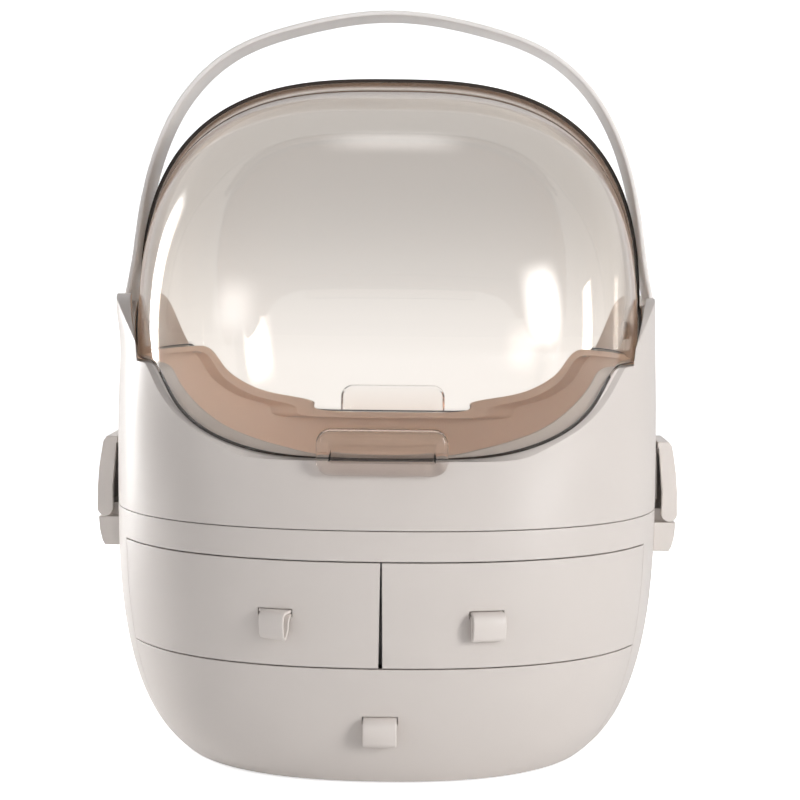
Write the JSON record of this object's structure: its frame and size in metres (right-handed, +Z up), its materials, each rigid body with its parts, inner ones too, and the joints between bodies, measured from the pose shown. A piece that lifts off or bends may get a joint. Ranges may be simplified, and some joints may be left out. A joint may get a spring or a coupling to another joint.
{
  "type": "makeup organizer",
  "caption": "Egg-shaped makeup organizer: drawers below, an open case above under two clear tinted domed lids that turn about one axis, side latches and a swinging carry handle.",
  "frame": {"origin": "on the surface the box stands on, below the middle of the body's footprint and below the lids' pivot axis", "axes": "+X to the right seen from the front, +Y to the back (the drawers face -Y), +Z up"},
  "size_m": [0.2828, 0.2399, 0.3546],
  "materials": {
    "shell_plastic": "satin gloss, warm off-white",
    "handle_plastic": "satin gloss, warm off-white",
    "latch_plastic": "satin, slightly pinker off-white",
    "strap": "soft matt strap",
    "smoked_clear": "clear smoke-brown plastic",
    "brown_clear": "deeper brown clear plastic",
    "tray_plastic": "plain moulded",
    "inner_plastic": "plain moulded",
    "pivot_plastic": "plain moulded",
    "steel": "plain",
    "rubber": "matt"
  },
  "bodies": {
    "cabinet": {"cabinet_shell": "shell_plastic", "middle_shelf": "inner_plastic", "drawer_divider": "inner_plastic", "base_plate": "inner_plastic", "base_screws": "steel", "rubber_feet": "rubber", "upper_case": "shell_plastic", "left_pivot_pin": "pivot_plastic", "left_pivot_washer": "pivot_plastic", "left_pivot_clip": "pivot_plastic", "left_latch_bracket": "latch_plastic", "left_latch_pin": "steel", "left_latch_catch": "latch_plastic", "right_pivot_pin": "pivot_plastic", "right_pivot_washer": "pivot_plastic", "right_pivot_clip": "pivot_plastic", "right_latch_bracket": "latch_plastic", "right_latch_pin": "steel", "right_latch_catch": "latch_plastic"},
    "front_lid": {"front_lid": "smoked_clear", "front_lid_tab": "brown_clear"},
    "rear_lid": {"rear_lid": "smoked_clear", "rear_lid_tab": "brown_clear"},
    "carry_handle": {"carry_handle": "handle_plastic"},
    "left_latch": {"left_latch_lever": "latch_plastic"},
    "right_latch": {"right_latch_lever": "latch_plastic"},
    "upper_left_drawer": {"upper_left_drawer_front": "shell_plastic", "upper_left_drawer_tray": "tray_plastic", "upper_left_drawer_pull": "strap", "upper_left_drawer_pull_clip": "pivot_plastic"},
    "upper_right_drawer": {"upper_right_drawer_front": "shell_plastic", "upper_right_drawer_tray": "tray_plastic", "upper_right_drawer_pull": "strap", "upper_right_drawer_pull_clip": "pivot_plastic"},
    "lower_drawer": {"lower_drawer_front": "shell_plastic", "lower_drawer_tray": "tray_plastic", "lower_drawer_pull": "strap", "lower_drawer_pull_clip": "pivot_plastic"}
  },
  "joints": [
    {"name": "front_lid_hinge", "type": "hinge", "parent": "cabinet", "child": "front_lid", "pos_m": [0, 0, 0.2], "axis": [-1, 0, 0], "range_deg": [0, 51]},
    {"name": "rear_lid_hinge", "type": "hinge", "parent": "cabinet", "child": "rear_lid", "pos_m": [0, 0, 0.2], "axis": [1, 0, 0], "range_deg": [0, 51]},
    {"name": "handle_swing", "type": "hinge", "parent": "cabinet", "child": "carry_handle", "pos_m": [0, 0, 0.2], "axis": [1, 0, 0], "range_deg": [-30, 30]},
    {"name": "left_latch_hinge", "type": "hinge", "parent": "cabinet", "child": "left_latch", "pos_m": [-0.1376, 0, 0.1115], "axis": [0, -1, 0], "range_deg": [0, 90]},
    {"name": "right_latch_hinge", "type": "hinge", "parent": "cabinet", "child": "right_latch", "pos_m": [0.1376, 0, 0.1115], "axis": [0, 1, 0], "range_deg": [0, 90]},
    {"name": "upper_left_drawer_slide", "type": "slide", "parent": "cabinet", "child": "upper_left_drawer", "axis": [0, -1, 0], "range_m": [0, 0.1]},
    {"name": "upper_right_drawer_slide", "type": "slide", "parent": "cabinet", "child": "upper_right_drawer", "axis": [0, -1, 0], "range_m": [0, 0.1]},
    {"name": "lower_drawer_slide", "type": "slide", "parent": "cabinet", "child": "lower_drawer", "axis": [0, -1, 0], "range_m": [0, 0.1]}
  ]
}
